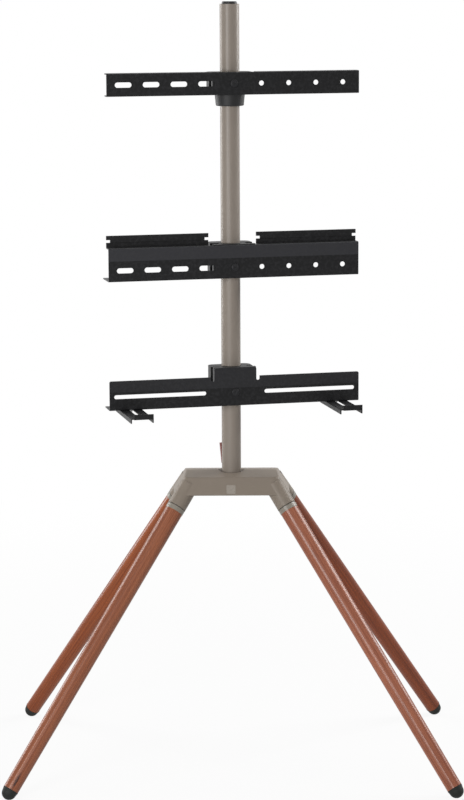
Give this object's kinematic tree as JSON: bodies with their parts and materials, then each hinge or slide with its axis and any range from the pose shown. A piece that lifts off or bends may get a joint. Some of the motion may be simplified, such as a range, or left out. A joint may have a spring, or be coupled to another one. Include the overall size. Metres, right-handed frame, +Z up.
{
  "type": "tv stand with mount",
  "caption": "Floor stand for a screen: a round pole that turns in a cast hub on splayed wooden legs, with slotted steel brackets and sound-bar arms clamped to it.",
  "frame": {"origin": "on the floor under the pole's axis, the middle of the four feet", "axes": "+Z up along the pole; the brackets run along X and face -Y, and the base is turned 13.6 degrees under them, as pictured"},
  "size_m": [0.9142, 0.7204, 1.3839],
  "materials": {
    "pole_paint": "satin taupe powder coat",
    "hub_paint": "die-cast, satin taupe powder coat",
    "ferrule_paint": "satin grey",
    "leg_wood": "red-brown stained wood under gloss lacquer",
    "foot_rubber": "matte black",
    "black_steel": "fine black powder coat",
    "black_casting": "die-cast, matte black paint",
    "black_plastic": "matte black",
    "bearing_plastic": "smooth dark grey",
    "hook_plastic": "glossy red-brown",
    "screw_black": "black oxide",
    "zinc_steel": "zinc plated"
  },
  "bodies": {
    "base": {"hub": "hub_paint", "swivel_bush": "bearing_plastic", "thrust_washer": "bearing_plastic", "leg_studs": "zinc_steel", "leg_front_left": "leg_wood", "leg_front_right": "leg_wood", "leg_rear_left": "leg_wood", "leg_rear_right": "leg_wood", "leg_ferrule_front_left": "ferrule_paint", "leg_ferrule_front_right": "ferrule_paint", "leg_ferrule_rear_left": "ferrule_paint", "leg_ferrule_rear_right": "ferrule_paint", "foot_cap_front_left": "foot_rubber", "foot_cap_front_right": "foot_rubber", "foot_cap_rear_left": "foot_rubber", "foot_cap_rear_right": "foot_rubber"},
    "column": {"pole": "pole_paint", "pole_end_cap": "black_plastic", "pole_base_plug": "zinc_steel", "swivel_bolt": "zinc_steel", "swivel_washer": "zinc_steel", "swivel_nut": "zinc_steel", "cable_hook": "hook_plastic", "cable_hook_screw": "zinc_steel"},
    "stop_ring": {"stop_collar": "black_plastic", "stop_collar_screw": "zinc_steel"},
    "arm_left": {"sound_bar_arm_left": "black_steel"},
    "arm_right": {"sound_bar_arm_right": "black_steel"},
    "upper_mount": {"upper_bracket": "black_steel", "upper_clamp_front": "black_casting", "upper_clamp_rear": "black_casting", "upper_clamp_bolts": "zinc_steel", "upper_bracket_screw": "screw_black"},
    "middle_mount": {"middle_bracket": "black_steel", "middle_clamp_front": "black_casting", "middle_clamp_rear": "black_casting", "middle_clamp_bolts": "zinc_steel", "middle_bracket_screw": "screw_black"},
    "lower_mount": {"lower_bracket": "black_steel", "lower_clamp_front": "black_casting", "lower_clamp_rear": "black_casting", "lower_clamp_bolts": "zinc_steel", "lower_bracket_screw": "screw_black", "arm_bolts": "zinc_steel", "arm_washers": "zinc_steel", "arm_wing_nuts": "zinc_steel"}
  },
  "joints": [
    {"name": "column_swivel", "type": "hinge", "parent": "base", "child": "column", "pos_m": [0, 0, 0.5125], "axis": [0, 0, 1], "continuous": true},
    {"name": "stop_collar_height", "type": "slide", "parent": "column", "child": "stop_ring", "axis": [0, 0, 1], "range_m": [-0.09, 0]},
    {"name": "upper_bracket_height", "type": "slide", "parent": "column", "child": "upper_mount", "axis": [0, 0, 1], "range_m": [0, 0.1]},
    {"name": "middle_bracket_height", "type": "slide", "parent": "column", "child": "middle_mount", "axis": [0, 0, 1], "range_m": [-0.08, 0.1]},
    {"name": "lower_bracket_height", "type": "slide", "parent": "column", "child": "lower_mount", "axis": [0, 0, 1], "range_m": [-0.05, 0.06]},
    {"name": "arm_left_reach", "type": "slide", "parent": "lower_mount", "child": "arm_left", "axis": [0, -1, 0], "range_m": [-0.065, 0]},
    {"name": "arm_right_reach", "type": "slide", "parent": "lower_mount", "child": "arm_right", "axis": [0, -1, 0], "range_m": [-0.065, 0]}
  ]
}
